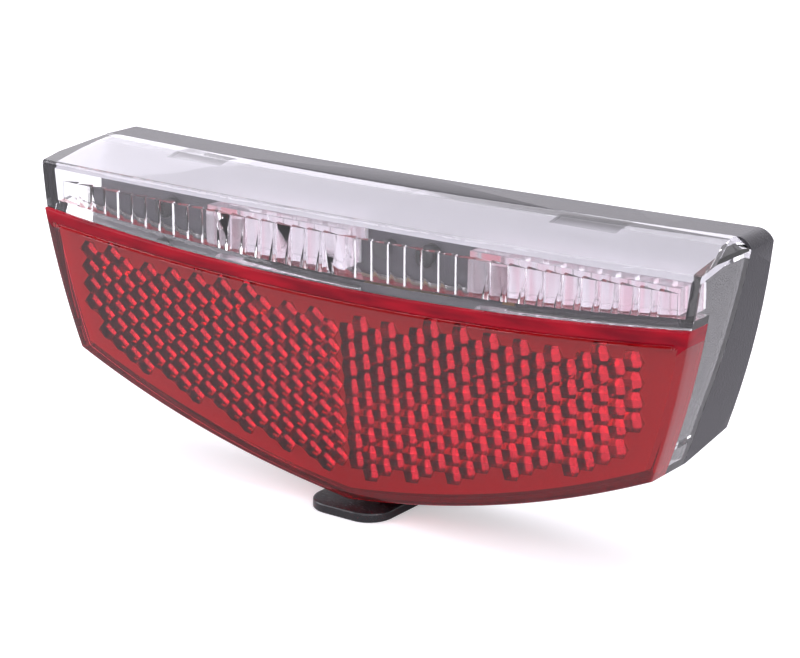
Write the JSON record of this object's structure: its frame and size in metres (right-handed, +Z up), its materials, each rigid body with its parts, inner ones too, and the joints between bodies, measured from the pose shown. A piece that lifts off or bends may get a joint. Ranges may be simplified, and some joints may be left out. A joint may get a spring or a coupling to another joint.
{
  "type": "bicycle rear light",
  "caption": "Wide, low battery rear light for a luggage carrier: black back shell, clear ribbed light strip over a red V-bottomed reflector, slide switch underneath.",
  "frame": {"origin": "on the rear mounting plane, midway between the two mounting bolts", "axes": "+X to the lamp's right seen from behind the bicycle, +Y forward along the bicycle into the carrier's bracket, +Z up; the lamp shines towards -Y"},
  "size_m": [0.12, 0.0359, 0.0495],
  "materials": {
    "black_shell": "fine spark-eroded grain",
    "clear_cover": "clear, polished",
    "red_reflector": "transparent red, polished, corner cubes inside",
    "white_plastic": "moulded",
    "seal_rubber": "soft",
    "board": "solder mask over fibreglass",
    "led_package": "white package with a red lens",
    "clear_optic": "clear, polished",
    "chip": "moulded epoxy",
    "capacitor_can": "drawn can",
    "sensor_lens": "smoked clear",
    "cell_sleeve": "plain sleeve",
    "contact_metal": "nickel plated",
    "switch_metal": "stamped",
    "black_moving": "satin black",
    "lead_film": "film",
    "bolt_steel": "zinc plated",
    "screw_steel": "zinc plated"
  },
  "bodies": {
    "lamp": {"rear_housing": "black_shell", "lens_cover": "clear_cover", "reflector": "red_reflector", "reflector_backing": "white_plastic", "housing_seal": "seal_rubber", "circuit_board": "board", "led_left": "led_package", "led_right": "led_package", "optic_left": "clear_optic", "optic_right": "clear_optic", "guide_reflector_left": "white_plastic", "guide_reflector_right": "white_plastic", "control_chip": "chip", "resistors": "chip", "capacitor": "capacitor_can", "light_sensor": "sensor_lens", "battery_tray": "white_plastic", "battery_cell_upper": "cell_sleeve", "battery_cell_lower": "cell_sleeve", "contact_link": "contact_metal", "contact_positive": "contact_metal", "contact_negative": "contact_metal", "switch_board": "board", "switch_body": "switch_metal", "flat_lead": "lead_film", "mounting_bolts": "bolt_steel", "cover_screws": "screw_steel", "board_screws": "screw_steel", "tray_screws": "screw_steel"},
    "switch": {"switch_slider": "black_moving", "switch_carrier": "black_moving", "switch_wiper": "black_moving"}
  },
  "joints": [
    {"name": "switch_slide", "type": "slide", "parent": "lamp", "child": "switch", "axis": [1, 0, 0], "range_m": [-0.0025, 0.0025]}
  ]
}
